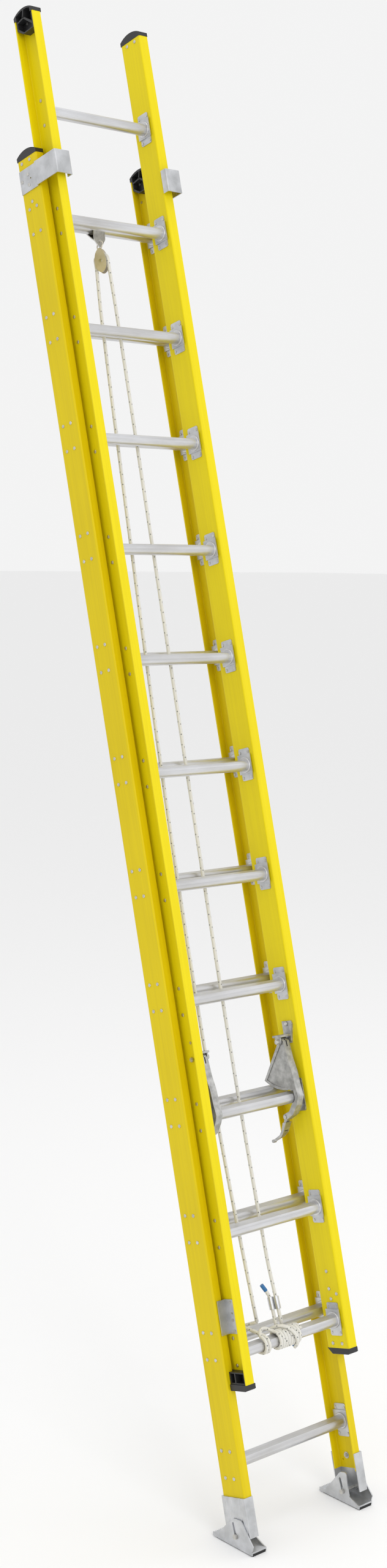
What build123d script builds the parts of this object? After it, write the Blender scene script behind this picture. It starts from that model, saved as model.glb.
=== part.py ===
"""Fibreglass extension ladder: two sliding sections, rung locks, rope and pulley, swivel shoes.

Every piece is drawn in ladder coordinates, with x across, n forward of the base rungs and s up the
rails, then leaned back into place with its soles on Z = 0. All sizes are in millimetres.
"""
import os
from math import cos, radians, sin

from build123d import *

LEAN = 14.5                # lean of the rails, degrees from vertical
FLOOR = 87.0               # depth of the floor below the ladder coordinates' zero
FOOT_BACK = 46.0           # how far the middle of a sole lies behind that zero
PITCH = 304.8              # rung to rung
RUNGS = 12                 # in each section
FLY_DROP = 20.0            # a fly rung sits this much below the base rung it passes
FLY_AHEAD = 73.1           # fly rungs ahead of base rungs

# Rails: channels, with the base pair opening inward and the fly pair outward
WALL = 4.0
BASE_WEB, BASE_TIP = 214.3, 188.5
BASE_N, BASE_S = (-39.0, 45.5), (176.0, 3834.0)
FLY_WEB, FLY_TIP = 174.1, 204.5
FLY_N, FLY_S = (28.0, 110.0), (512.0, 4208.0)

# Rungs and their riveted end plates
RUNG_R, RUNG_WALL, TREAD = 17.5, 2.0, 12.2
BEAD_R = 22.0
PLATE_T, PLATE_STEP = 2.5, 3.5
RIVET_N, RIVET_S = 16.5, 35.0

# Feet
BOOT_S, BOOT_T = (121.0, 223.0), 4.0
BOLT_Y, BOLT_Z = -13.0, 32.0
EAR_OUT, EAR_IN, EAR_T = 219.5, 172.0, 3.2
SOLE_Y, PAD_T, SHOE_TOP = (-75.0, 75.0), 8.0, 12.5

# Rung locks, on the third fly rung
LOCK_X = (138.0, 160.0)
LOCK_PIVOT = (68.0, 1350.5)
FINGER_PIVOT = (43.0, 1145.0)
LOCK_REACH = 132.9         # pivot to the edge that stands on the base rung
LOCK_RUNG_S = 4 * PITCH

# Pulley and rope
ROPE_R = 4.75
SHEAVE_R, SHEAVE_TURN = 14.0, 27.0
BLOCK = (-16.0, 18.0, 3556.0)
BLOCK_EYE_S = 3597.0
STRAP_X = (-28.0, 12.0)

LADDER = Location((0, -FOOT_BACK, -FLOOR), (-LEAN, 0, 0))
OUT = "parts"


# ---- helpers -----------------------------------------------------------------------------------

def at(x, n, s):
    return Pos(x, -n, s)


def block(x, n, s):
    """Box between two values each of x, n and s."""
    size = (abs(x[1] - x[0]), abs(n[1] - n[0]), abs(s[1] - s[0]))
    return at(sum(x) / 2, sum(n) / 2, sum(s) / 2) * Box(*size)


def side_plane(x):
    """Plane across the ladder at x, drawn on in n and s, whose extrusions run toward -x."""
    return Plane(origin=(x, 0, 0), x_dir=(0, -1, 0), z_dir=(-1, 0, 0))


def side_plate(outline, x):
    """Outline in n and s, as thick as the two values of x."""
    return extrude(side_plane(max(x)) * make_face(Polyline(*outline, close=True)), abs(x[1] - x[0]))


def side_round(x, n, s, radius):
    """Cylinder along x between two values of x."""
    width = abs(x[1] - x[0])
    return at(sum(x) / 2, n, s) * Rot(0, 90, 0) * Cylinder(radius, width)


def rail_plate(outline, s):
    """Outline in x and n, run up the rail between two values of s."""
    points = [(x, -n) for x, n in outline]
    return Pos(0, 0, s[0]) * extrude(make_face(Polyline(*points, close=True)), s[1] - s[0])


def left(shape):
    return mirror(shape, about=Plane.YZ)


def pair(shape):
    """The right-hand piece and its mirror image, as two solids."""
    return [*shape.solids(), *left(shape).solids()]


def rung_s(section, number):
    drop = FLY_DROP - PITCH if section == "fly" else 0.0
    return number * PITCH - drop


def save(name, *shapes, stand=LADDER):
    solids = [stand * solid for shape in shapes for solid in shape.solids()]
    export_step(Compound(children=solids) if len(solids) > 1 else solids[0], f"{OUT}/{name}.step")


# ---- rails, rungs, plates, rivets --------------------------------------------------------------

def channel(web, tip, n, s):
    """Right-hand rail: web between n's two values, flanges running from the web to the tip."""
    out = 1 if tip > web else -1
    back = web if out > 0 else web - WALL
    inner_web = back + WALL if out > 0 else back
    hi_lo = sorted((web, tip))
    outer = Pos(sum(hi_lo) / 2, -sum(n) / 2) * Rectangle(hi_lo[1] - hi_lo[0], n[1] - n[0])
    hollow_x = sorted((inner_web, tip + out * 10))
    hollow = Pos(sum(hollow_x) / 2, -sum(n) / 2) * Rectangle(
        hollow_x[1] - hollow_x[0], n[1] - n[0] - 2 * WALL)
    profile = outer - hollow
    web_corners = profile.vertices().filter_by(lambda v: abs(v.X - web) < 0.01)
    profile = fillet(web_corners, 4.5)
    tips = profile.vertices().filter_by(lambda v: abs(v.X - tip) < 0.01)
    profile = fillet(tips, 1.2)
    inner = profile.vertices().filter_by(lambda v: abs(v.X - inner_web) < 0.01)
    profile = fillet(inner, 1.8)
    return Pos(0, 0, s[0]) * extrude(profile, s[1] - s[0])


def tread_disc(radius, flat):
    """Rung section: a circle whose tread is flat and level when the ladder leans."""
    cutter = Rot(0, 0, -LEAN) * Pos(0, flat + 20) * Rectangle(80, 40)
    return Circle(radius) - cutter


def rung(web):
    """Tube through both end plates, swaged to a bead each side of each plate."""
    face = web - PLATE_STEP - PLATE_T
    reach = web - 1.5
    tube = extrude(side_plane(reach) * tread_disc(RUNG_R, TREAD), 2 * reach)
    for end in (1, -1):
        bead = side_round((end * face, end * (face - 3.5)), 0, 0, BEAD_R)
        bead = fillet(bead.edges().filter_by(GeomType.CIRCLE).sort_by(Axis.X)[-1 if end < 0 else 0], 2.0)
        tube += bead + side_round((end * (face + PLATE_T), end * reach), 0, 0, BEAD_R - 1.5)
    bore = extrude(side_plane(reach + 1) * tread_disc(RUNG_R - RUNG_WALL, TREAD - RUNG_WALL),
                   2 * reach + 2)
    return tube - bore


def rung_plate(web):
    """Right-hand end plate on a web's inner face: two riveted tabs and a raised middle."""
    face = web - PLATE_STEP - PLATE_T
    tab = (web - PLATE_T, web)
    plate = side_plate([(-25, -25), (25, -25), (25, 29), (-25, 29)], (face, face + PLATE_T))
    for low, high, fold in ((-43, -25, -25), (26.5, 46, 26.5)):
        plate += side_plate([(-21, low), (21, low), (21, high), (-21, high)], tab)
        plate += block((face, web), (-21, 21), (fold, fold + 2.5))
    corners = plate.edges().filter_by(Axis.X).filter_by(
        lambda e: abs(e.center().Z) > 40 and abs(e.length - PLATE_T) < 0.01)
    plate = fillet(corners, 5.0)
    hole = extrude(side_plane(web + 1) * tread_disc(RUNG_R + 0.15, TREAD + 0.15), 12)
    return plate - hole


def rivet(head_x, tail_x, n=0.0, s=0.0, radius=4.8):
    """Rivet along x with a domed head outside head_x and an upset tail beyond tail_x."""
    out = 1 if head_x > tail_x else -1
    head = side_round((head_x, head_x + out * 2.2), n, s, radius)
    rim = head.edges().filter_by(GeomType.CIRCLE).sort_by(Axis.X)[-1 if out > 0 else 0]
    head = fillet(rim, 1.6)
    tail = side_round((tail_x, tail_x - out * 1.4), n, s, radius * 0.8)
    return head + side_round((head_x, tail_x), n, s, radius * 0.5) + tail


def rung_rivets(section, head_x, tail_x, ahead):
    one = rivet(head_x, tail_x)
    spots = [(ahead + n, rung_s(section, k) + s) for k in range(1, RUNGS + 1)
             for n in (-RIVET_N, RIVET_N) for s in (-RIVET_S, RIVET_S)]
    return [solid for n, s in spots for solid in pair(at(0, n, s) * one)]


# ---- caps and guide brackets -------------------------------------------------------------------

def end_cap(x, n, s, plug_x, plug, ribs_at):
    """Moulded cap: a domed lid over the rail's top and a ribbed plug down its channel."""
    crest = sum(n) / 2
    lid = make_face(Polyline((n[0], s + 11), (n[0], s), (n[1], s), (n[1], s + 11))
                    + ThreePointArc((n[1], s + 11), (crest, s + 23), (n[0], s + 11)))
    cap = extrude(side_plane(x[1]) * lid, x[1] - x[0]) + side_plate(plug, plug_x)
    open_x = (plug_x[0] + 3, x[1] + 1) if ribs_at > 0 else (x[0] - 1, plug_x[1] - 3)
    n0, n1 = plug[0][0], plug[-1][0]
    middle = (n0 + n1) / 2
    low = plug[2][1]
    pockets = [
        [(n0 + 4, s + 12), (n0 + 4, s - 4), (middle - 5, s + 0.5), (middle + 1, s + 17),
         (middle - 8, s + 17)],
        [(middle + 5, s + 17), (middle - 1, s + 0.5), (n1 - 4, s - 26), (n1 - 4, s + 12), (n1 - 16, s + 16)],
        [(n0 + 4, s - 8), (middle - 4, s - 4), (n1 - 6, s - 32), (n1 - 6, low + 3), (n0 + 26, low + 3),
         (n0 + 4, s - 23)],
    ]
    for outline in pockets:
        cap -= side_plate(outline, open_x)
    return cap


def bottom_cap():
    """Chamfered shoe under the fly rail, plugged up its channel and slotted for the base flange."""
    n, s = (FLY_N[0] - 0.5, FLY_N[1] + 0.5), FLY_S[0]
    lid = side_plate([(n[0], s), (43.7, s - 16), (n[1] - 6.5, s - 16), (n[1], s - 13), (n[1], s)],
                     (FLY_WEB - 0.5, FLY_TIP + 0.5))
    plug = block((FLY_WEB + WALL, 202), (FLY_N[0] + 6, FLY_N[1] - 6), (s - 2, s + 31))
    for span in ((51, 66), (70, 101)):
        plug -= block((FLY_WEB + WALL + 3, 210), span, (s + 4, s + 28))
    slot = block((BASE_TIP - 1.5, 215), (BASE_N[1] - WALL - 1.5, BASE_N[1] + 1.5), (s - 20, s + 40))
    return lid + plug - slot


def guide_bracket():
    """Strap on the base web that runs round the front of the fly rail."""
    outer = BASE_WEB
    outline = [(outer, -36), (outer + 3, -36), (outer + 3, 37), (outer + 8.7, 42), (outer + 8.7, 134),
               (170, 134), (170, 113), (173, 113), (173, 131), (outer + 5.7, 131), (outer + 5.7, 43.5),
               (outer, 38.5)]
    bracket = rail_plate(outline, (3740, 3805))
    bends = bracket.edges().filter_by(Axis.Z)
    for radius, n in ((4.5, 134), (1.5, 131)):
        bracket = fillet(bends.filter_by(lambda e: abs(e.center().Y + n) < 0.01), radius)
        bends = bracket.edges().filter_by(Axis.Z)
    return bracket - side_round((outer - 1, outer + 4), 11, 3772.5, 2.2)


def fly_guide():
    """Angle on the foot of the fly rail: one leg on the web, one ahead of the base flange."""
    web = FLY_WEB + WALL
    outline = [(web, 47.5), (207.5, 47.5), (207.5, 50.5), (web + 3, 50.5), (web + 3, 100), (web, 100)]
    angle = rail_plate(outline, (637, 726))
    return angle - side_round((web - 1, web + 4), 71, 690.5, 2.2)


# ---- feet --------------------------------------------------------------------------------------

def boot():
    """Extruded socket round the foot of the right base rail, ribbed down its outer face."""
    n0, n1 = BASE_N[0] - 3, BASE_N[1] + 3
    out = BASE_WEB + BOOT_T
    outline = [(BASE_TIP, n0), (out, n0), (out, n1), (BASE_TIP, n1), (BASE_TIP, BASE_N[1]),
               (BASE_WEB, BASE_N[1]), (BASE_WEB, BASE_N[0]), (BASE_TIP, BASE_N[0])]
    socket = rail_plate(outline, BOOT_S)
    corners = socket.edges().filter_by(Axis.Z).filter_by(lambda e: abs(e.center().X - out) < 0.01)
    socket = fillet(corners, 3.0)
    for rib in ((-33, -22), (-14, -2), (8, 26), (33, 42)):
        band = rail_plate([(out - 1, rib[0] - 2), (out + 0.8, rib[0]), (out + 0.8, rib[1]),
                           (out - 1, rib[1] + 2)], BOOT_S)
        socket += band
    bolt_n, bolt_s = ladder_ns(BOLT_Y, BOLT_Z)
    socket += side_round((BASE_WEB, out), bolt_n, bolt_s, 10.0)
    return socket - side_round((BASE_WEB - 1, out + 2), bolt_n, bolt_s, 4.05)


def ladder_ns(y, z):
    """Ladder coordinates n and s of a point given in the standing frame."""
    back, up = y + FOOT_BACK, z + FLOOR
    lean = radians(LEAN)
    return up * sin(lean) - back * cos(lean), up * cos(lean) + back * sin(lean)


def yz_plate(outline, x):
    """Outline in y and z of the standing frame, as thick as the two values of x."""
    plane = Plane(origin=(min(x), 0, 0), x_dir=(0, 1, 0), z_dir=(1, 0, 0))
    return extrude(plane * make_face(Polyline(*outline, close=True)), abs(x[1] - x[0]))


def shoe():
    """Right shoe, drawn flat on the floor: a channel with two slotted ears and a toothed heel."""
    x0, x1 = EAR_IN, EAR_OUT + EAR_T
    y0, y1 = SOLE_Y
    deck = Pos((x0 + x1) / 2, (y0 + y1) / 2, (PAD_T + SHOE_TOP) / 2) * Box(
        x1 - x0, y1 - y0, SHOE_TOP - PAD_T)
    lips = [Pos(x, 0, 5.5) * Box(2.6, y1 - y0, 6) for x in (x0 + 1.3, x1 - 1.3)]
    outer_ear = [(-70, PAD_T), (-74, 14), (-78, 27.7), (-64.4, 41.7), (-34, 78), (-30, 81), (-10, 79),
                 (-1, 76), (24, 51), (49, 24), (53, PAD_T)]
    inner_ear = [(-72, PAD_T), (-74, 12), (-66, 14), (-37, 25.7), (-33, 40.4), (-25, 84), (-20, 87.5),
                 (-4, 83.5), (1, 80), (26, 48), (40, 29.6), (49, 20), (53, PAD_T)]
    body = deck + lips + yz_plate(outer_ear, (EAR_OUT, x1)) + yz_plate(inner_ear, (x0, x0 + EAR_T))
    slot_lean = 20.0
    slot = Pos(0, BOLT_Y, BOLT_Z) * Rot(-slot_lean, 0, 0) * (
        Pos((x0 + x1) / 2, 0, 16.5) * Box(x1 - x0 + 4, 8.1, 33)
        + Pos((x0 + x1) / 2, 0, 33) * Rot(0, 90, 0) * Cylinder(4.05, x1 - x0 + 4))
    bore = Pos((x0 + x1) / 2, BOLT_Y, BOLT_Z) * Rot(0, 90, 0) * Cylinder(4.05, x1 - x0 + 4)
    body = body - slot - bore
    tooth = 5.8
    count = int((x1 - x0) // tooth)
    margin = (x1 - x0 - count * tooth) / 2
    notches = [(x0 + margin + tooth * i, y1 + 0.1) for i in range(count)]
    for x, y in notches:
        notch = make_face(Polyline((x, y), (x + tooth, y), (x + tooth / 2, y - 6), close=True))
        body -= Pos(0, 0, 1) * extrude(notch, SHOE_TOP + 1)
    return body


def pad():
    x0, x1 = EAR_IN + 2.6, EAR_OUT + EAR_T - 2.6
    rubber = Pos((x0 + x1) / 2, 0, PAD_T / 2) * Box(x1 - x0, SOLE_Y[1] - SOLE_Y[0] - 13, PAD_T)
    grooves = [Pos((x0 + x1) / 2, y, 0) * Box(x1 - x0 + 2, 3, 4) for y in range(-56, 57, 14)]
    return Pos(0, -6, 0) * rubber - grooves


def hexagon(radius, length):
    return Rot(0, 90, 0) * extrude(RegularPolygon(radius, 6), length)


def shoe_bolt():
    """Pivot bolt through both ears and the boot, with its nut on the inner ear."""
    x0, x1 = EAR_IN, EAR_OUT + EAR_T
    spot = Pos(0, BOLT_Y, BOLT_Z)
    shank = spot * Pos((x0 + x1) / 2, 0, 0) * Rot(0, 90, 0) * Cylinder(4.0, x1 - x0 + 10)
    head = spot * Pos(x1 + 0.4, 0, 0) * hexagon(7.4, 5)
    nut = spot * Pos(x0 - 0.4 - 6, 0, 0) * hexagon(7.4, 6)
    return shank + head + nut


def boot_screw():
    """Fastener that holds the boot on the web: washer and nut inside, flush outside."""
    n, s = -4.6, 210.0
    washer = side_round((BASE_WEB - WALL - 1.6, BASE_WEB - WALL), n, s, 9.0)
    nut = at(BASE_WEB - WALL - 5.6, n, s) * hexagon(5.6, 4.2)
    shank = side_round((BASE_WEB - WALL - 7, BASE_WEB + BOOT_T), n, s, 3.0)
    return washer + nut + shank


# ---- rung locks --------------------------------------------------------------------------------

def lock_mount():
    """Casting riveted to the fly web, with a shelf and an inboard lug for the pivot bolt."""
    n, s = LOCK_PIVOT
    inboard, web = LOCK_X[0] - 7, FLY_WEB
    plate = side_plate([(54, 1402), (90, 1402), (93.5, 1393), (82, 1342), (58, 1340), (54.6, 1367)],
                       (web - 4, web))
    plate += side_plate([(78, 1346), (82, 1346), (91, 1392), (87, 1392)], (web - 7, web - 4))
    plate += side_round((web - 6, web - 4), 70, 1395, 7.0)
    shelf = block((inboard, web - 3), (n - 18, n + 16), (s + 11.5, s + 17))
    lug = side_round((inboard, inboard + 4.5), n, s, 10.0)
    lug += block((inboard, inboard + 4.5), (n - 10, n + 10), (s, s + 12))
    return plate + shelf + lug - side_round((inboard - 1, web + 1), n, s, 4.03)


def lock_bolt():
    """Pivot bolt: hex head inboard, spacer beside the web, nut inside the fly channel."""
    n, s = LOCK_PIVOT
    head_face, nut_face = LOCK_X[0] - 7, FLY_WEB + WALL
    washer = side_round((head_face - 1.6, head_face), n, s, 8.5)
    head = at(head_face - 6.4, n, s) * hexagon(6.8, 5)
    spacer = side_round((LOCK_X[1] + 0.4, FLY_WEB - 4), n, s, 7.0)
    nut = at(nut_face, n, s) * hexagon(6.8, 6)
    return washer + head + spacer + nut + side_round((head_face - 2, nut_face + 8), n, s, 4.0)


def lock_body():
    """Gravity lock: a webbed triangle that stands on a base rung and hooks under the fly rung."""
    n, s = LOCK_PIVOT
    rung = (FLY_AHEAD, LOCK_RUNG_S - FLY_DROP)
    pin = FINGER_PIVOT
    x0, x1 = LOCK_X
    bar = [(n + 3, s - 9), (n + 3, s + 1), (82, 1352), (88.5, 1301), (97, 1266), (101.5, 1222),
           (106.5, 1198.5), (95, 1175), (75, 1150), (pin[0] + 5, pin[1] - 7), (pin[0] - 4, pin[1] + 7),
           (62, 1160), (79.3, 1181.2), (91, 1190), (92.2, 1200), (91, 1214), (90, 1224), (84, 1262),
           (80, 1301)]
    web = [(n - 9, s - 4), (82, 1340), (90, 1222), (90, 1217), (-16.5, 1200), (-40, 1247.9),
           (-16.5, 1247.9)]
    rear = [(n - 10, s - 5), (n - 2, s - 10), (-8, 1248), (-8, 1240), (-40, 1240), (-16.5, 1247.9)]
    wide = (x0, x0 + 8)
    below = side_round((x0 - 1, x1 + 1), n, s, 400) - side_round((x0 - 2, x1 + 2), n, s, LOCK_REACH)
    lip = side_round(wide, n, s, LOCK_REACH) - side_round((x0 - 1, x1), n, s, LOCK_REACH - 7)
    sector = side_plate([(n, s), (-16.5, 1247.9), (-60, 1195), (92, 1195), (90, 1222)], wide)
    plate = side_plate(web, (x0 + 2.5, x0 + 5.5)) - below
    body = side_plate(bar, LOCK_X) + plate + (lip & sector) + (side_plate(rear, wide) - below)
    body += side_round(LOCK_X, n, s, 10.0)
    body += side_round(LOCK_X, *pin, 8.0)
    body -= side_round((x0 - 1, x1 + 1), *rung, RUNG_R + 1.3)
    body -= side_round((x0 - 1, x1 + 1), n, s, 4.05)
    body -= block((x0 + 9, x0 + 13), (70, 90), (1335, 1356)) - side_round((x0, x1), n, s, 6.5)
    body -= block((x0 + 5, x1 - 5), (20, 57), (1120, 1158.5))
    body -= side_round((x0 + 5, x1 - 5), *pin, 13.0)
    return body - side_round((x0 - 1, x1 + 1), *pin, 3.02)


def finger_pin():
    n, s = FINGER_PIVOT
    heads = [side_round(x, n, s, 5.0) for x in ((LOCK_X[0] - 1.8, LOCK_X[0]), (LOCK_X[1], LOCK_X[1] + 1.8))]
    return heads[0] + side_round(LOCK_X, n, s, 3.0) + heads[1]


def finger():
    """Swinging finger below the lock, bent clear of the base rungs and narrowed to a rolled tip."""
    n, s = FINGER_PIVOT
    x0, x1 = LOCK_X
    knuckle = (x0 + 5.4, x1 - 5.4)
    back = [(n - 5, s + 3), (17.5, 1106), (6, 1096.5), (-27, 1083)]
    front = [(-27, 1077), (10, 1091), (24, 1102), (n + 6, s - 4)]
    blade = side_plate(back + front, LOCK_X)
    blade -= side_round((x0 - 1, x1 + 1), n, s, 13.0)
    taper = Plane.XZ * make_face(Polyline((x0, 1130), (x0, 1104), (x0 + 7, 1083), (x0 + 7, 1070),
                                          (x1 - 7, 1070), (x1 - 7, 1083), (x1, 1104), (x1, 1130),
                                          close=True))
    blade = blade & extrude(taper, 200, both=True)
    blade -= block((x0 + 4, x1 - 4), (15, 28), (1106, 1122)) & side_plate(
        [(20, 1104), (30, 1104), (40, 1130), (31, 1130)], LOCK_X)
    neck = side_plate([(n - 6, s + 1), (n - 17, s - 19), (n - 11, s - 22), (n + 5.5, s - 3)], knuckle)
    whole = blade + neck + side_round(knuckle, n, s, 7.0) + side_round((x0 + 6, x1 - 6), -28, 1080, 4.6)
    return whole - side_round((x0, x1), n, s, 3.05)


# ---- pulley ------------------------------------------------------------------------------------

def block_frame():
    """Location of the block's own axes: its sheave turns about local X, with Z up the rails."""
    return at(*BLOCK) * Rot(0, 0, SHEAVE_TURN)


def strap():
    """Strip wrapped round the top base rung, with both ends brought together over an eyelet."""
    top, reach = RUNGS * PITCH, RUNG_R + 0.4
    eye_n, low = 12.0, BLOCK_EYE_S + 3

    def drop(radius, half):
        bulge = Circle(radius)
        tail = make_hull((bulge.edges() + (Pos(eye_n, -40) * Circle(half)).edges()))
        stem = Pos(eye_n, (low - top - 40) / 2) * Rectangle(2 * half, top - low - 40)
        return tail + stem

    band = extrude(side_plane(STRAP_X[1]) * (Pos(0, top) * drop(reach + 2, 2.0)), STRAP_X[1] - STRAP_X[0])
    inside = Pos(0, top) * make_hull(Circle(reach).edges() + (Pos(eye_n, -38) * Circle(0.05)).edges())
    band -= extrude(side_plane(STRAP_X[1] + 1) * inside, STRAP_X[1] - STRAP_X[0] + 2)
    middle = sum(STRAP_X) / 2
    edge0, edge1 = STRAP_X
    tongue = make_face(Polyline((edge0, top + 40), (edge0, 3622), (middle - 4, low), (middle + 4, low),
                                (edge1, 3622), (edge1, top + 40), close=True))
    band = band & extrude(Plane.XZ * tongue, 200, both=True)
    eye = Plane(origin=(middle, -eye_n, 3615), z_dir=(0, 1, 0))
    return band - extrude(eye * Circle(3.0), 20, both=True)


def pulley_block():
    """Two egg-shaped cheeks joined over the sheave by a bridge."""
    half, thick = 9.0, 1.6
    cheek = make_face(Spline((0, 36), (-13, 22), (-17, 2), (-12, -24), (0, -33), (12, -24), (17, 2),
                             (13, 22), periodic=True))
    plane = Plane(origin=(half, 0, 0), x_dir=(0, -1, 0), z_dir=(-1, 0, 0))
    plate = extrude(plane * cheek, thick)
    cheeks = plate + Pos(thick - 2 * half, 0, 0) * plate
    bridge = Pos(0, 0, 29.5) * Box(2 * half - 1, 12, 3)
    return cheeks + bridge - Rot(0, 90, 0) * Cylinder(3.02, 30)


def link():
    """Ring from the strap's eyelet to a stud on top of the block."""
    eye, stud = Vector(-8, -12, 3615), Vector(-14, -17, 3592)
    down = (stud - eye).normalized()
    reach = (stud - eye).length / 2
    plane = Plane(origin=eye + down * reach, x_dir=down, z_dir=down.cross(Vector(0, -1, 0)))
    ring = plane * Torus(reach, 1.6)
    return ring + along((-16, 18, 3587), (-14, 17, 3592.5), 3.2)


def sheave():
    """Grooved wheel."""
    rim, width = SHEAVE_R + 3.2, 6.9
    wheel = Rot(0, 90, 0) * Cylinder(rim, 2 * width)
    groove = Rot(0, 90, 0) * Torus(SHEAVE_R + ROPE_R + 0.1, ROPE_R + 0.35)
    outside = Rot(0, 90, 0) * (Cylinder(rim + 2, 2 * ROPE_R + 0.7) - Cylinder(
        SHEAVE_R + ROPE_R + 0.1, 20))
    return wheel - groove - outside - Rot(0, 90, 0) * Cylinder(3.05, 30)


def sheave_pin():
    shank = Rot(0, 90, 0) * Cylinder(3.0, 18)
    heads = [Pos(x, 0, 0) * Rot(0, 90, 0) * Cylinder(4.5, 1.6) for x in (-9.8, 9.8)]
    return shank + heads


# ---- rope --------------------------------------------------------------------------------------

def tube(points, radii):
    """Rope along straight runs joined by tangent arcs of the given radii."""
    path = FilletPolyline(*[(x, -n, s) for x, n, s in points], radius=radii)
    start = path @ 0
    section = Plane(origin=start, z_dir=path % 0) * Circle(ROPE_R)
    return sweep(section, path=path)


def sheave_side(reach, rise=0.0):
    """Ladder coordinates of a point beside the sheave's centre and in its plane."""
    turn = radians(SHEAVE_TURN)
    return BLOCK[0] + reach * sin(turn), BLOCK[1] + reach * cos(turn), BLOCK[2] + rise


CLIP_TOP, CLIP_BOTTOM = (0.4, 44.0, 691.5), (-1.0, 49.0, 658.9)
WRAP_TOP = (-73.0, 38.0, 640.0)


def rope_runs():
    """The whole tight stretch, from the clip up over the sheave and down to the lashing."""
    ride = SHEAVE_R + ROPE_R + 0.1
    front, back = sheave_side(ride, -24), sheave_side(-ride, -24)
    lift = ride
    points = [(-2.8, 55.3, 618), (1.3, 40.9, 712), (2, 30, 800), (-11, 30, 1400), (-8, 30, 2300),
              (-2, 31, 3369),
              front, (front[0], front[1], BLOCK[2] + lift), (back[0], back[1], BLOCK[2] + lift),
              back, (-60, 28, 3371), (-98, 30, 2218), (-103, 30, 1583), (-93, 30, 1066), WRAP_TOP]
    radii = [100, 300, 900, 900, 900, 300, ride - 0.05, ride - 0.05, 120, 300, 900, 900, 900]
    return tube(points, radii)


def rope_wrap():
    """Lashing round the lowest fly rung and the base rung behind it, as one closed sleeve."""
    fly = (FLY_AHEAD, rung_s("fly", 1))
    base = (0.0, rung_s("base", 2))
    inner, outer = RUNG_R + 0.7, RUNG_R + 2 * ROPE_R + 1.2

    def belt(radius, x):
        ends = [side_round(x, *spot, radius) for spot in (fly, base)]
        dn, ds = base[0] - fly[0], base[1] - fly[1]
        length = (dn * dn + ds * ds) ** 0.5
        un, us = -ds / length * radius, dn / length * radius
        bridge = side_plate([(fly[0] + un, fly[1] + us), (base[0] + un, base[1] + us),
                             (base[0] - un, base[1] - us), (fly[0] - un, fly[1] - us)], x)
        return ends[0] + bridge + ends[1]

    coil_x, lash_x = (-98.0, 30.0), (-100.0, -62.0)
    sleeve = side_round(coil_x, *fly, outer) + belt(outer, lash_x)
    hollow = belt(inner, (lash_x[0] - 1, lash_x[1])) + side_round(
        (coil_x[0] - 10, coil_x[1] + 1), *fly, inner)
    return sleeve - hollow - side_round((lash_x[0] - 1, lash_x[1] + 1), *base, inner)


def along(start, end, radius, grow=0.0):
    """Cylinder between two points in ladder coordinates."""
    a, b = Vector(start[0], -start[1], start[2]), Vector(end[0], -end[1], end[2])
    axis = (b - a).normalized()
    plane = Plane(origin=a - axis * grow, z_dir=axis)
    return extrude(plane * Circle(radius), (b - a).length + 2 * grow)


def clip_tail(point):
    """The tail's tube stands behind and to the left of the tight rope's."""
    return point[0] - 11.5, point[1] - 10, point[2]


def rope_clip():
    """Double ferrule that clamps the rope's end back on itself."""
    tubes = along(CLIP_TOP, CLIP_BOTTOM, 7.8)
    tubes += along(clip_tail(CLIP_TOP), clip_tail(CLIP_BOTTOM), 7.8)
    bores = along(CLIP_TOP, CLIP_BOTTOM, 5.0, 2) + along(
        clip_tail(CLIP_TOP), clip_tail(CLIP_BOTTOM), 5.0, 2)
    return tubes - bores


def rope_tail():
    """Short end of the rope, from the lashing up through the clip's second tube."""
    return tube([(-14.3, 45.3, 618), (-11.0, 33.5, 695), (-19.5, 31.6, 710)], [20])


def rope_tips():
    """Dipped ends of the rope: one on the tail above the clip, one beside the lashing."""
    return [along((-19.6, 31.6, 710.2), (-29.5, 29.4, 727.5), 5.4), along((32, 52, 556), (44, 40, 552), 5.4)]


# ---- the ladder --------------------------------------------------------------------------------

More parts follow.
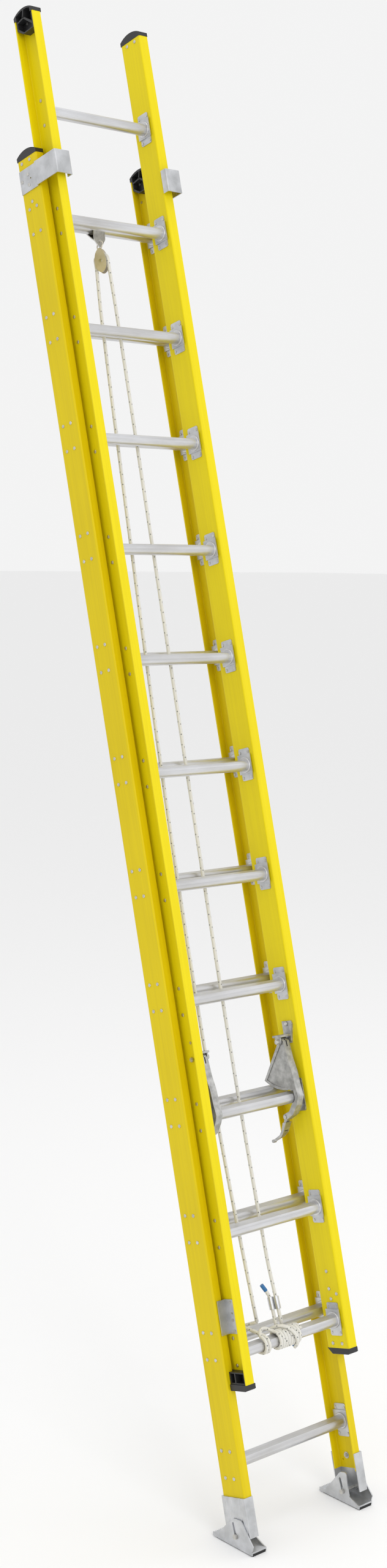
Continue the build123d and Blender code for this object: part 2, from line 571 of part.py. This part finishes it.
def main():
    os.makedirs(OUT, exist_ok=True)

    base_rail = channel(BASE_WEB, BASE_TIP, BASE_N, BASE_S) - side_round(
        (BASE_WEB - WALL - 1, BASE_WEB + 1), -21.6, 197.6, 2.2)
    fly_rail = channel(FLY_WEB, FLY_TIP, FLY_N, FLY_S)
    save("base_rail_right", base_rail)
    save("base_rail_left", left(base_rail))
    fly_rail -= side_round((FLY_WEB - 1, FLY_WEB + WALL + 1), *LOCK_PIVOT, 4.1)
    save("fly_rail_right", fly_rail)
    save("fly_rail_left", left(fly_rail))

    base_inner, fly_inner = BASE_WEB - WALL, FLY_WEB
    for section, web, ahead in (("base", base_inner, 0.0), ("fly", fly_inner, FLY_AHEAD)):
        one_rung, one_plate = rung(web), rung_plate(web)
        plates = []
        for number in range(1, RUNGS + 1):
            spot = at(0, ahead, rung_s(section, number))
            save(f"{section}_rung_{number:02d}", spot * one_rung)
            plates += pair(spot * one_plate)
        save(f"{section}_rung_plates", *plates)

    base_tail, fly_tail = base_inner - PLATE_T, fly_inner - PLATE_T
    base_rivets = rung_rivets("base", BASE_WEB, base_tail, 0.0)
    base_rivets += pair(rivet(BASE_WEB, base_inner, 0, 3710.2))
    for n, s in ((1, 3786), (-27.5, 3773.7), (0, 3757)):
        base_rivets += pair(rivet(BASE_WEB + 3, base_inner, n, s))
    for n in (-20, 15):
        base_rivets += pair(rivet(BASE_WEB, base_inner - 3, n, 3823.5))
    save("base_rivets", *base_rivets)

    fly_rivets = rung_rivets("fly", FLY_WEB + WALL, fly_tail, FLY_AHEAD)
    for n, s in ((69.5, 719), (69.5, 672), (95, 659), (71, 645)):
        fly_rivets += pair(rivet(FLY_WEB, FLY_WEB + WALL + 3, n, s))
    for n, s in ((54.2, 4198), (87.7, 4198), (51.6, 525), (86.8, 525)):
        fly_rivets += pair(rivet(FLY_WEB, FLY_WEB + WALL + 3, n, s))
    fly_rivets += pair(rivet(FLY_WEB - 5, FLY_WEB + WALL, 70, LOCK_PIVOT[1] + 44))
    save("fly_rivets", *fly_rivets)

    top = BASE_S[1]
    base_cap = end_cap((BASE_TIP - 0.5, BASE_WEB + 0.5), (BASE_N[0] - 0.5, BASE_N[1] + 0.5), top,
                       (190, base_inner), [(-33, top), (-33, top - 27), (-12, top - 42), (39, top - 42),
                                           (39, top)], -1)
    fly_flange = block((BASE_TIP - 2, FLY_TIP + 1.5), (FLY_N[0] - 1.5, FLY_N[0] + WALL + 1.5),
                       (top - 50, top + 30))
    save("base_top_caps", *pair(base_cap - fly_flange))
    top = FLY_S[1]
    fly_cap = end_cap((FLY_WEB - 0.5, FLY_TIP + 0.5), (FLY_N[0] - 0.5, FLY_N[1] + 0.5), top,
                      (FLY_WEB + WALL, 202), [(34, top), (34, top - 28), (56, top - 44),
                                              (104, top - 44), (104, top)], 1)
    save("fly_top_caps", *pair(fly_cap))
    save("fly_bottom_caps", *pair(bottom_cap()))
    save("base_guide_brackets", *pair(guide_bracket()))
    save("fly_guide_brackets", *pair(fly_guide()))

    save("boot_right", boot())
    save("boot_left", left(boot()))
    floor = Location((0, 0, 0))
    for name, piece in (("shoe", shoe()), ("pad", pad())):
        save(f"{name}_right", piece, stand=floor)
        save(f"{name}_left", left(piece), stand=floor)
    bolts = [floor * solid for solid in pair(shoe_bolt())]
    bolts += [LADDER * solid for solid in pair(boot_screw())]
    save("foot_bolts", *bolts, stand=floor)

    save("lock_mounts", *pair(lock_mount()))
    save("lock_bolts", *pair(lock_bolt()))
    for name, piece in (("lock", lock_body()), ("lock_finger", finger()), ("finger_pin", finger_pin())):
        save(f"{name}_right", piece)
        save(f"{name}_left", left(piece))

    save("pulley_strap", strap())
    frame = block_frame()
    save("pulley_block", frame * pulley_block() + link())
    save("pulley_sheave", frame * sheave())
    save("pulley_pin", frame * sheave_pin())

    save("rope_runs", rope_runs())
    save("rope_wrap", rope_wrap(), rope_tail())
    save("rope_clip", rope_clip())
    save("rope_tips", *rope_tips())


if __name__ == "__main__":
    main()
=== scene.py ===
"""Looks of the extension ladder: materials, braided rope, floor, light and camera."""
from math import cos, pi, radians, sin

import bpy
from mathutils import Matrix, Vector

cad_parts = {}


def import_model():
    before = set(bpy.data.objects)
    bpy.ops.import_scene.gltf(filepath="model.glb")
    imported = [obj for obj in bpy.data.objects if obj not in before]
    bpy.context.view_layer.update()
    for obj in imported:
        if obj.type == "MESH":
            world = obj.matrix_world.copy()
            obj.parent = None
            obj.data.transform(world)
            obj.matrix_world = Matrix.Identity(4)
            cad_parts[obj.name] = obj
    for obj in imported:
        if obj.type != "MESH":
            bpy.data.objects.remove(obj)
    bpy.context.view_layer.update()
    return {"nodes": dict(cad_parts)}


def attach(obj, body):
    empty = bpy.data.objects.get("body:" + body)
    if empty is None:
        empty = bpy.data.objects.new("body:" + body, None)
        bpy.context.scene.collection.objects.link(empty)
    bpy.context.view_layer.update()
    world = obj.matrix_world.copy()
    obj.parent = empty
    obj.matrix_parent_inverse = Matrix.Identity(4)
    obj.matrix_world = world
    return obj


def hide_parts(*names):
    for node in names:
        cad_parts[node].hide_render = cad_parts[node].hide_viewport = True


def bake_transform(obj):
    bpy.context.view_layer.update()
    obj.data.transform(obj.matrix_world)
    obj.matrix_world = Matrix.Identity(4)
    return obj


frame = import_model()
nodes = frame["nodes"]

LEAN = radians(14.5)
ROPE_R = 0.00475
GROOVE_PITCH = 0.0024      # tread grooves on a rung
YARN_TURNS = 10            # yarns round the rope each way
YARN_LENGTH = 0.0052       # rope length over which the yarn pattern repeats


def world(x, n, s):
    """Row frame, in metres, of ladder coordinates in millimetres: across, forward, up the rails."""
    return Vector((x, s * sin(LEAN) - n * cos(LEAN) - 46, s * cos(LEAN) + n * sin(LEAN) - 87)) / 1000


# ---- materials ---------------------------------------------------------------------------------

class Mat:
    """A node material built up from a principled shader."""

    def __init__(self, name, rough, metal=0.0):
        self.mat = bpy.data.materials.new(name)
        self.mat.use_nodes = True
        self.tree = self.mat.node_tree
        self.shader = self.tree.nodes["Principled BSDF"]
        self.shader.inputs["Roughness"].default_value = rough
        self.shader.inputs["Metallic"].default_value = metal
        self.coords = self.tree.nodes.new("ShaderNodeTexCoord")

    def link(self, a, b):
        self.tree.links.new(a, b)

    def scaled(self, scale, source="Object", turn=(0, 0, 0)):
        """Coordinates stretched by a scale, optionally turned with the rails first."""
        first = self.tree.nodes.new("ShaderNodeMapping")
        first.inputs["Rotation"].default_value = turn
        self.link(self.coords.outputs[source], first.inputs["Vector"])
        second = self.tree.nodes.new("ShaderNodeMapping")
        second.inputs["Scale"].default_value = scale
        self.link(first.outputs[0], second.inputs["Vector"])
        return second.outputs[0]

    def noise(self, vector, scale, detail=4.0, rough=0.55):
        node = self.tree.nodes.new("ShaderNodeTexNoise")
        node.inputs["Scale"].default_value = scale
        node.inputs["Detail"].default_value = detail
        node.inputs["Roughness"].default_value = rough
        self.link(vector, node.inputs["Vector"])
        return node.outputs["Fac"]

    def ramp(self, value, *stops):
        node = self.tree.nodes.new("ShaderNodeValToRGB")
        ramp = node.color_ramp
        while len(ramp.elements) < len(stops):
            ramp.elements.new(0.5)
        for element, (place, colour) in zip(ramp.elements, stops):
            element.position = place
            element.color = (*colour, 1)
        self.link(value, node.inputs["Fac"])
        return node.outputs["Color"]

    def math(self, kind, a, b=None):
        node = self.tree.nodes.new("ShaderNodeMath")
        node.operation = kind
        for socket, value in zip(node.inputs, (a, b)):
            if value is None:
                continue
            if isinstance(value, (int, float)):
                socket.default_value = value
            else:
                self.link(value, socket)
        return node.outputs[0]

    def colour(self, socket):
        self.link(socket, self.shader.inputs["Base Color"])

    def bump(self, height, strength, distance):
        node = self.tree.nodes.new("ShaderNodeBump")
        node.inputs["Strength"].default_value = strength
        node.inputs["Distance"].default_value = distance
        self.link(height, node.inputs["Height"])
        if self.shader.inputs["Normal"].is_linked:
            before = self.shader.inputs["Normal"].links[0].from_socket
            self.link(before, node.inputs["Normal"])
        self.link(node.outputs[0], self.shader.inputs["Normal"])

    def roughness(self, value, low, high):
        node = self.tree.nodes.new("ShaderNodeMapRange")
        node.inputs["To Min"].default_value = low
        node.inputs["To Max"].default_value = high
        self.link(value, node.inputs["Value"])
        self.link(node.outputs[0], self.shader.inputs["Roughness"])


RAILS = (LEAN, 0, 0)


def fibreglass(name, light, deep):
    """Pultruded resin: faint streaks along the rail, a fine veil texture and a satin skin."""
    m = Mat(name, 0.42)
    streaks = m.noise(m.scaled((60, 60, 1.2), turn=RAILS), 3.0, 5.0)
    clouds = m.noise(m.scaled((1, 1, 1)), 3.0, 3.0)
    m.colour(m.ramp(m.math("ADD", m.math("MULTIPLY", streaks, 0.6), m.math("MULTIPLY", clouds, 0.4)),
                    (0.3, deep), (0.62, light)))
    m.shader.inputs["Specular IOR Level"].default_value = 0.25
    m.roughness(streaks, 0.38, 0.55)
    m.bump(m.noise(m.scaled((900, 900, 120), turn=RAILS), 1.0, 3.0), 0.12, 0.0004)
    return m.mat


def rung_metal():
    """Extruded aluminium: brushed along its length, with fine tread grooves on the level face."""
    m = Mat("rung_aluminium", 0.36, 0.9)
    brush = m.noise(m.scaled((3, 420, 420)), 1.0, 5.0)
    stain = m.noise(m.scaled((4, 14, 14)), 1.4, 4.0)
    m.colour(m.ramp(m.math("ADD", m.math("MULTIPLY", brush, 0.35), m.math("MULTIPLY", stain, 0.65)),
                    (0.3, (0.5, 0.49, 0.48)), (0.7, (0.74, 0.75, 0.78))))
    m.roughness(brush, 0.26, 0.46)
    m.bump(brush, 0.1, 0.0002)
    geometry = m.tree.nodes.new("ShaderNodeNewGeometry")
    split = m.tree.nodes.new("ShaderNodeSeparateXYZ")
    m.link(geometry.outputs["Normal"], split.inputs[0])
    level = m.math("GREATER_THAN", split.outputs["Z"], 0.985)
    across = m.tree.nodes.new("ShaderNodeSeparateXYZ")
    m.link(m.coords.outputs["Object"], across.inputs[0])
    groove = m.math("SINE", m.math("MULTIPLY", across.outputs["Y"], 2 * pi / GROOVE_PITCH))
    m.bump(m.math("MULTIPLY", groove, level), 0.8, 0.0006)
    return m.mat


def metal(name, colour, dark, rough, grain, bump):
    m = Mat(name, rough, 0.92)
    cast = m.noise(m.scaled((1, 1, 1)), grain, 6.0)
    m.colour(m.ramp(cast, (0.32, dark), (0.66, colour)))
    m.roughness(cast, rough * 0.75, rough * 1.3)
    m.bump(m.noise(m.scaled((1, 1, 1)), grain * 7, 4.0), bump, 0.0005)
    return m.mat


def moulded(name, colour, rough, bump):
    m = Mat(name, rough)
    grain = m.noise(m.scaled((1, 1, 1)), 700.0, 3.0)
    soft = m.noise(m.scaled((1, 1, 1)), 18.0, 3.0)
    m.colour(m.ramp(soft, (0.3, tuple(c * 0.8 for c in colour)), (0.7, colour)))
    m.roughness(soft, rough * 0.85, rough * 1.15)
    m.bump(grain, bump, 0.0004)
    return m.mat


def braid():
    """White braided rope: crossing yarns, painted shade darkening the hollows between the yarns, and
    a dark fleck where a marker yarn surfaces.
    """
    m = Mat("rope_braid", 0.85)
    m.shader.inputs["Sheen Weight"].default_value = 0.25
    split = m.tree.nodes.new("ShaderNodeSeparateXYZ")
    m.link(m.coords.outputs["UV"], split.inputs[0])
    around, along = split.outputs["X"], split.outputs["Y"]
    turns = m.math("MULTIPLY", around, 2 * pi * YARN_TURNS)
    run = m.math("MULTIPLY", along, 2 * pi / YARN_LENGTH)
    one = m.math("SINE", m.math("ADD", turns, run))
    two = m.math("SINE", m.math("SUBTRACT", turns, run))
    yarns = m.math("MAXIMUM", one, two)
    m.bump(yarns, 0.55, 0.0005)
    slow = m.math("SINE", m.math("ADD", m.math("MULTIPLY", around, 2 * pi),
                                 m.math("MULTIPLY", along, 2 * pi / 0.031)))
    cross = m.math("SINE", m.math("SUBTRACT", m.math("MULTIPLY", around, 4 * pi),
                                  m.math("MULTIPLY", along, 2 * pi / 0.013)))
    fleck = m.math("MULTIPLY", m.math("GREATER_THAN", slow, 0.9), m.math("GREATER_THAN", cross, 0.6))
    mix = m.tree.nodes.new("ShaderNodeMix")
    mix.data_type = "RGBA"
    m.link(fleck, mix.inputs["Factor"])
    # painted shade: the yarn height also sets the colour, so the hollows between yarns are painted
    # darker
    m.link(m.ramp(yarns, (0.0, (0.6, 0.58, 0.52)), (0.7, (0.84, 0.83, 0.78))), mix.inputs["A"])
    mix.inputs["B"].default_value = (0.14, 0.15, 0.15, 1)
    m.colour(mix.outputs["Result"])
    return m.mat


BASE_YELLOW = fibreglass("base_fibreglass", (0.74, 0.575, 0.001), (0.66, 0.5, 0.0))
FLY_YELLOW = fibreglass("fly_fibreglass", (0.8, 0.66, 0.001), (0.73, 0.585, 0.0))
RUNG = rung_metal()
SHEET = metal("sheet_aluminium", (0.66, 0.67, 0.69), (0.48, 0.49, 0.5), 0.38, 26.0, 0.08)
CAST = metal("cast_aluminium", (0.56, 0.56, 0.55), (0.34, 0.34, 0.33), 0.46, 60.0, 0.35)
NICKEL = metal("nickel_plate", (0.8, 0.76, 0.7), (0.68, 0.64, 0.58), 0.42, 40.0, 0.06)
ZINC = metal("zinc_plate", (0.66, 0.65, 0.62), (0.46, 0.45, 0.42), 0.3, 90.0, 0.1)
BLACK = moulded("black_cap", (0.022, 0.022, 0.023), 0.42, 0.15)
RUBBER = moulded("sole_rubber", (0.018, 0.018, 0.018), 0.8, 0.5)
BLUE = moulded("dipped_end", (0.028, 0.16, 0.4), 0.35, 0.1)
BRAID = braid()


def material_for(name):
    if "_rail_" in name:
        return BASE_YELLOW if name.startswith("base") else FLY_YELLOW
    if "_rung_plates" in name or "guide_brackets" in name or "boot" in name or "shoe" in name:
        return SHEET
    if "_rung_" in name:
        return RUNG
    if "caps" in name:
        return BLACK
    if name.startswith("pad"):
        return RUBBER
    if name == "rope_tips":
        return BLUE
    if name == "pulley_block":
        return NICKEL
    if name.startswith("lock_bolts") or name.startswith("pulley") or "rivets" in name:
        return ZINC
    if "finger_pin" in name or name == "foot_bolts":
        return ZINC
    return CAST if name.startswith("lock") else SHEET


for name, obj in nodes.items():
    obj.data.materials.clear()
    obj.data.materials.append(material_for(name))


# ---- rope --------------------------------------------------------------------------------------

def centreline(name, points):
    """Points along the smooth line that a route's control points give."""
    curve = bpy.data.curves.new(name + "_route", "CURVE")
    curve.dimensions = "3D"
    spline = curve.splines.new("NURBS")
    spline.points.add(len(points) - 1)
    for point, place in zip(spline.points, points):
        point.co = (*place, 1)
    spline.order_u = 3
    spline.use_endpoint_u = True
    spline.resolution_u = 10
    holder = bpy.data.objects.new(name + "_route", curve)
    bpy.context.scene.collection.objects.link(holder)
    bpy.context.view_layer.update()
    mesh = bpy.data.meshes.new_from_object(holder)
    line = [v.co.copy() for v in mesh.vertices]
    bpy.data.objects.remove(holder)
    return line


def rope(name, points, radius=ROPE_R, sides=16):
    """Round rope along a route, with texture coordinates in turns around and metres along."""
    line = centreline(name, points)
    side = Vector((1, 0, 0))
    verts, faces, uvs = [], [], []
    run = 0.0
    runs = []
    for i, place in enumerate(line):
        ahead = (line[min(i + 1, len(line) - 1)] - line[max(i - 1, 0)]).normalized()
        side = (side - ahead * side.dot(ahead)).normalized()
        up = ahead.cross(side)
        if i:
            run += (place - line[i - 1]).length
        runs.append(run)
        for k in range(sides):
            turn = 2 * pi * k / sides
            verts.append(place + (side * cos(turn) + up * sin(turn)) * radius)
    for i in range(len(line) - 1):
        for k in range(sides):
            a, b = i * sides + k, i * sides + (k + 1) % sides
            faces.append((a, b, b + sides, a + sides))
            uvs += [(k / sides, runs[i]), ((k + 1) / sides, runs[i]),
                    ((k + 1) / sides, runs[i + 1]), (k / sides, runs[i + 1])]
    faces += [tuple(reversed(range(sides))), tuple(range(len(verts) - sides, len(verts)))]
    uvs += [(0, 0)] * (2 * sides)
    mesh = bpy.data.meshes.new(name)
    mesh.from_pydata(verts, [], faces)
    layer = mesh.uv_layers.new(name="rope")
    for loop, uv in zip(layer.data, uvs):
        loop.uv = uv
    mesh.polygons.foreach_set("use_smooth", [True] * len(mesh.polygons))
    mesh.materials.append(BRAID)
    obj = bpy.data.objects.new(name, mesh)
    bpy.context.scene.collection.objects.link(obj)
    return obj, line, run


TURN = radians(27)
RIDE = 18.85


def at_sheave(reach, rise):
    return world(-16 + reach * sin(TURN), 18 + reach * cos(TURN), 3556 + rise)


CORNER = RIDE * 1.02
tight = [world(-2.8, 55.3, 618), world(1.3, 40.9, 712), world(2, 30, 800), world(-11, 30, 1400),
         world(-8, 30, 2300), world(-2, 31, 3369), at_sheave(RIDE, -24), at_sheave(RIDE, 0),
         at_sheave(CORNER, CORNER * 0.48), at_sheave(CORNER * 0.48, CORNER), at_sheave(0, CORNER),
         at_sheave(-CORNER * 0.48, CORNER), at_sheave(-CORNER, CORNER * 0.48), at_sheave(-RIDE, 0),
         at_sheave(-RIDE, -24), world(-60, 28, 3371), world(-98, 30, 2218), world(-103, 30, 1583),
         world(-93, 30, 1066), world(-73, 38, 640)]
running, line, length = rope("running_rope", tight)
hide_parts("rope_runs")
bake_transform(running)

FLY = (73.1, 589.6)        # lowest fly rung, forward and up the rails
BASE = (0.0, 609.6)        # base rung behind it
COILS, COIL_STEPS, COIL_PITCH = 8, 12, 9.8


def around(centre, x, radius, angle):
    """Point on a turn round a rung: angle 0 is forward, a quarter turn is up."""
    return world(x, centre[0] + radius * cos(angle), centre[1] + radius * sin(angle))


def lashing_route():
    """Two belts round both rungs, a strand across, then coils along the fly rung."""
    route = [world(-73, 38, 640)]
    for x in (-84, -95):
        for step in range(5):
            route.append(around(BASE, x - step, 24, pi / 2 + step * pi / 4))
        for step in range(5):
            route.append(around(FLY, x - 5 - step, 24, -pi / 2 + step * pi / 4))
    route.append(world(-72, 52, 628))
    for step in range(COIL_STEPS * COILS + 3):
        route.append(around(FLY, -52 + COIL_PITCH * step / COIL_STEPS, 23.3, pi / 2 - step * pi / 6))
    return route


lashing, line, length = rope("lashing", lashing_route())
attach(lashing, "fly_section")

over = [around(FLY, x, 33, radians(a)) for x, a in (
    (-44, 130), (-38, 105), (-28, 80), (-18, 55), (-8, 25), (0, -10), (6, -45), (10, -80))]
crossing, line, length = rope("crossing_strand", over)
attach(crossing, "fly_section")

tail_route = [world(-14.3, 45.3, 618), world(-12.0, 37.1, 672), world(-11.0, 33.5, 695),
              world(-19.5, 31.6, 710)]
tail, line, length = rope("rope_tail", tail_route)
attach(tail, "fly_section")
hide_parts("rope_wrap")


# ---- floor, light, camera ----------------------------------------------------------------------

floor_mesh = bpy.data.meshes.new("floor")
REACH = 300
floor_mesh.from_pydata([(-REACH, -REACH, 0), (REACH, -REACH, 0), (REACH, REACH, 0),
                        (-REACH, REACH, 0)], [], [(0, 1, 2, 3)])
floor = bpy.data.objects.new("floor", floor_mesh)
bpy.context.scene.collection.objects.link(floor)
pale = bpy.data.materials.new("pale_floor")
pale.use_nodes = True
pale.node_tree.nodes["Principled BSDF"].inputs["Base Color"].default_value = (0.92, 0.92, 0.92, 1)
pale.node_tree.nodes["Principled BSDF"].inputs["Roughness"].default_value = 0.9
floor_mesh.materials.append(pale)

sky = bpy.data.worlds.new("studio")
sky.use_nodes = True
sky.node_tree.nodes["Background"].inputs["Color"].default_value = (1, 1, 1, 1)
sky.node_tree.nodes["Background"].inputs["Strength"].default_value = 0.9
bpy.context.scene.world = sky


def panel(name, place, target, size, power):
    light = bpy.data.lights.new(name, "AREA")
    light.shape = "RECTANGLE"
    light.size, light.size_y = size
    light.energy = power
    obj = bpy.data.objects.new(name, light)
    bpy.context.scene.collection.objects.link(obj)
    obj.location = place
    obj.rotation_euler = (Vector(target) - Vector(place)).to_track_quat("-Z", "Y").to_euler()


panel("key", (-2.0, -6.0, 4.5), (0, 0.4, 2.0), (3, 4), 120)
panel("side", (6.0, -2.0, 3.0), (0, 0.4, 2.0), (3, 4), 40)
panel("top", (0, 0.5, 8.0), (0, 0.5, 0), (4, 4), 60)

camera_data = bpy.data.cameras.new("camera")
camera_data.sensor_width = 36
camera_data.lens = 46.09
camera = bpy.data.objects.new("camera", camera_data)
bpy.context.scene.collection.objects.link(camera)
right, down, ahead = (Vector(v) for v in ((0.7480, -0.6636, 0.0115), (-0.0653, -0.0908, -0.9937),
                                          (0.6604, 0.7426, -0.1113)))
camera.matrix_world = Matrix.Translation((-3.6038, -3.6159, 2.5407)) @ Matrix(
    (right, -down, -ahead)).transposed().to_4x4()
bpy.context.scene.camera = camera
bpy.context.scene.view_settings.view_transform = "Standard"
